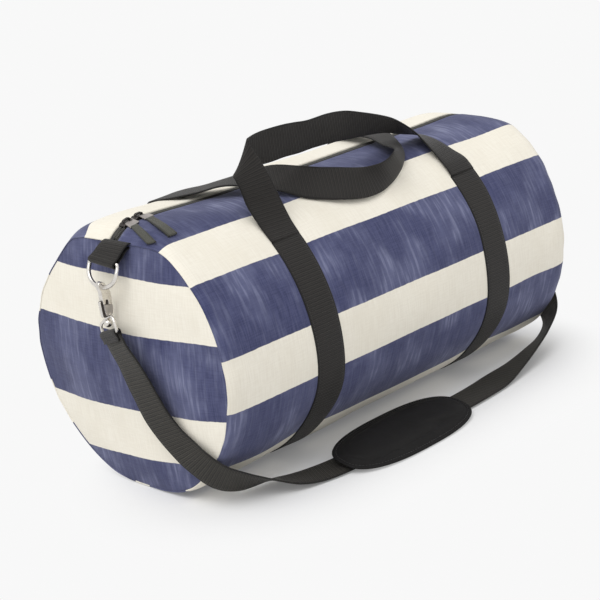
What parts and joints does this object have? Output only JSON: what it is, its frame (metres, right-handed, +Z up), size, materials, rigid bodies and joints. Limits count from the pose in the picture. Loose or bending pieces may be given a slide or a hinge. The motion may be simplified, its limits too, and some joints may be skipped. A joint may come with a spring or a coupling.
{
  "type": "weekender bag",
  "caption": "Soft barrel-shaped canvas weekender bag with broad stripes, a top zip, webbing carry handles and a clip-on padded shoulder strap.",
  "frame": {"origin": "on the ground under the middle of the bag, at the centre of its length and width", "axes": "+X along the bag from the end with the zip's sliders to the other end, +Y to the back, away from the shoulder strap, +Z up"},
  "size_m": [0.6056, 0.3158, 0.3307],
  "materials": {
    "canvas": "slubby woven cotton canvas in broad navy and cream stripes",
    "binding": "plain woven tape",
    "zip_tape": "close woven tape",
    "zip_teeth": "moulded coil",
    "slider_metal": "dark gunmetal plating",
    "pull_metal": "brushed gunmetal plating",
    "pull_webbing": "narrow ribbed webbing",
    "webbing": "ribbed woven webbing",
    "nickel": "polished nickel plating",
    "spring_steel": "plain drawn wire",
    "pad_cover": "smooth matt coated cover over foam"
  },
  "bodies": {
    "bag": {"body_panel": "canvas", "end_panel_left": "canvas", "end_panel_right": "canvas", "seam_binding_left": "binding", "seam_binding_right": "binding", "zip_tape_front": "zip_tape", "zip_tape_rear": "zip_tape", "zip_coil_front": "zip_teeth", "zip_coil_rear": "zip_teeth", "band_left": "webbing", "band_right": "webbing", "ring_tab_left": "webbing", "ring_tab_right": "webbing", "shoulder_strap": "webbing", "strap_adjuster": "slider_metal"},
    "slider_right": {"zip_slider_right": "slider_metal"},
    "slider_left": {"zip_slider_left": "slider_metal"},
    "pull_right": {"zip_pull_right": "pull_metal", "pull_strip_right": "pull_webbing"},
    "pull_left": {"zip_pull_left": "pull_metal", "pull_strip_left": "pull_webbing"},
    "handle_front": {"handle_front": "webbing"},
    "handle_rear": {"handle_rear": "webbing"},
    "pad": {"shoulder_pad": "pad_cover", "pad_loops": "webbing"},
    "ring_left": {"d_ring_left": "nickel", "swivel_eye_left": "nickel", "strap_end_left": "webbing"},
    "hook_left": {"hook_body_left": "nickel", "gate_pin_left": "spring_steel", "gate_spring_left": "spring_steel"},
    "gate_left": {"hook_gate_left": "nickel"},
    "ring_right": {"d_ring_right": "nickel", "swivel_eye_right": "nickel", "strap_end_right": "webbing"},
    "hook_right": {"hook_body_right": "nickel", "gate_pin_right": "spring_steel", "gate_spring_right": "spring_steel"},
    "gate_right": {"hook_gate_right": "nickel"}
  },
  "joints": [
    {"name": "zip_slider_right_slide", "type": "slide", "parent": "bag", "child": "slider_right", "axis": [1, 0, 0], "range_m": [0, 0.485], "deforming": ["zip_coil_front", "zip_coil_rear"]},
    {"name": "zip_slider_left_slide", "type": "slide", "parent": "bag", "child": "slider_left", "axis": [1, 0, 0], "range_m": [0, 0.003], "deforming": ["zip_coil_front", "zip_coil_rear"]},
    {"name": "zip_pull_right_hinge", "type": "hinge", "parent": "slider_right", "child": "pull_right", "pos_m": [-0.231, 0, 0.2729], "axis": [-1, 0, 0], "range_deg": [0, 150]},
    {"name": "zip_pull_left_hinge", "type": "hinge", "parent": "slider_left", "child": "pull_left", "pos_m": [-0.25, 0, 0.2729], "axis": [-1, 0, 0], "range_deg": [0, 150]},
    {"name": "handle_front_hinge", "type": "hinge", "parent": "bag", "child": "handle_front", "pos_m": [0, -0.099, 0.238], "axis": [1, 0, 0], "range_deg": [0, 150]},
    {"name": "handle_rear_hinge", "type": "hinge", "parent": "bag", "child": "handle_rear", "pos_m": [0, 0.099, 0.238], "axis": [-1, 0, 0], "range_deg": [0, 3]},
    {"name": "pad_slide", "type": "slide", "parent": "bag", "child": "pad", "axis": [1, 0, 0], "range_m": [-0.015, 0.015]},
    {"name": "ring_left_hinge", "type": "hinge", "parent": "bag", "child": "ring_left", "pos_m": [-0.282, 0, 0.2395], "axis": [0, 1, 0], "range_deg": [0, 35], "deforming": ["shoulder_strap"]},
    {"name": "hook_left_swivel", "type": "hinge", "parent": "ring_left", "child": "hook_left", "pos_m": [-0.2903, 0, 0.19], "axis": [0, 0, 1], "range_deg": [-12, 12]},
    {"name": "hook_gate_left_hinge", "type": "hinge", "parent": "hook_left", "child": "gate_left", "pos_m": [-0.2953, 0, 0.1965], "axis": [0, 1, 0], "range_deg": [0, 22], "stiffness_Nm_per_rad": 0.02, "springref_deg": -17.19},
    {"name": "ring_right_hinge", "type": "hinge", "parent": "bag", "child": "ring_right", "pos_m": [0.282, 0, 0.2395], "axis": [0, -1, 0], "range_deg": [0, 35], "deforming": ["shoulder_strap"]},
    {"name": "hook_right_swivel", "type": "hinge", "parent": "ring_right", "child": "hook_right", "pos_m": [0.2903, 0, 0.19], "axis": [0, 0, 1], "range_deg": [-12, 12]},
    {"name": "hook_gate_right_hinge", "type": "hinge", "parent": "hook_right", "child": "gate_right", "pos_m": [0.2953, 0, 0.1965], "axis": [0, -1, 0], "range_deg": [0, 22], "stiffness_Nm_per_rad": 0.02, "springref_deg": -17.19}
  ]
}
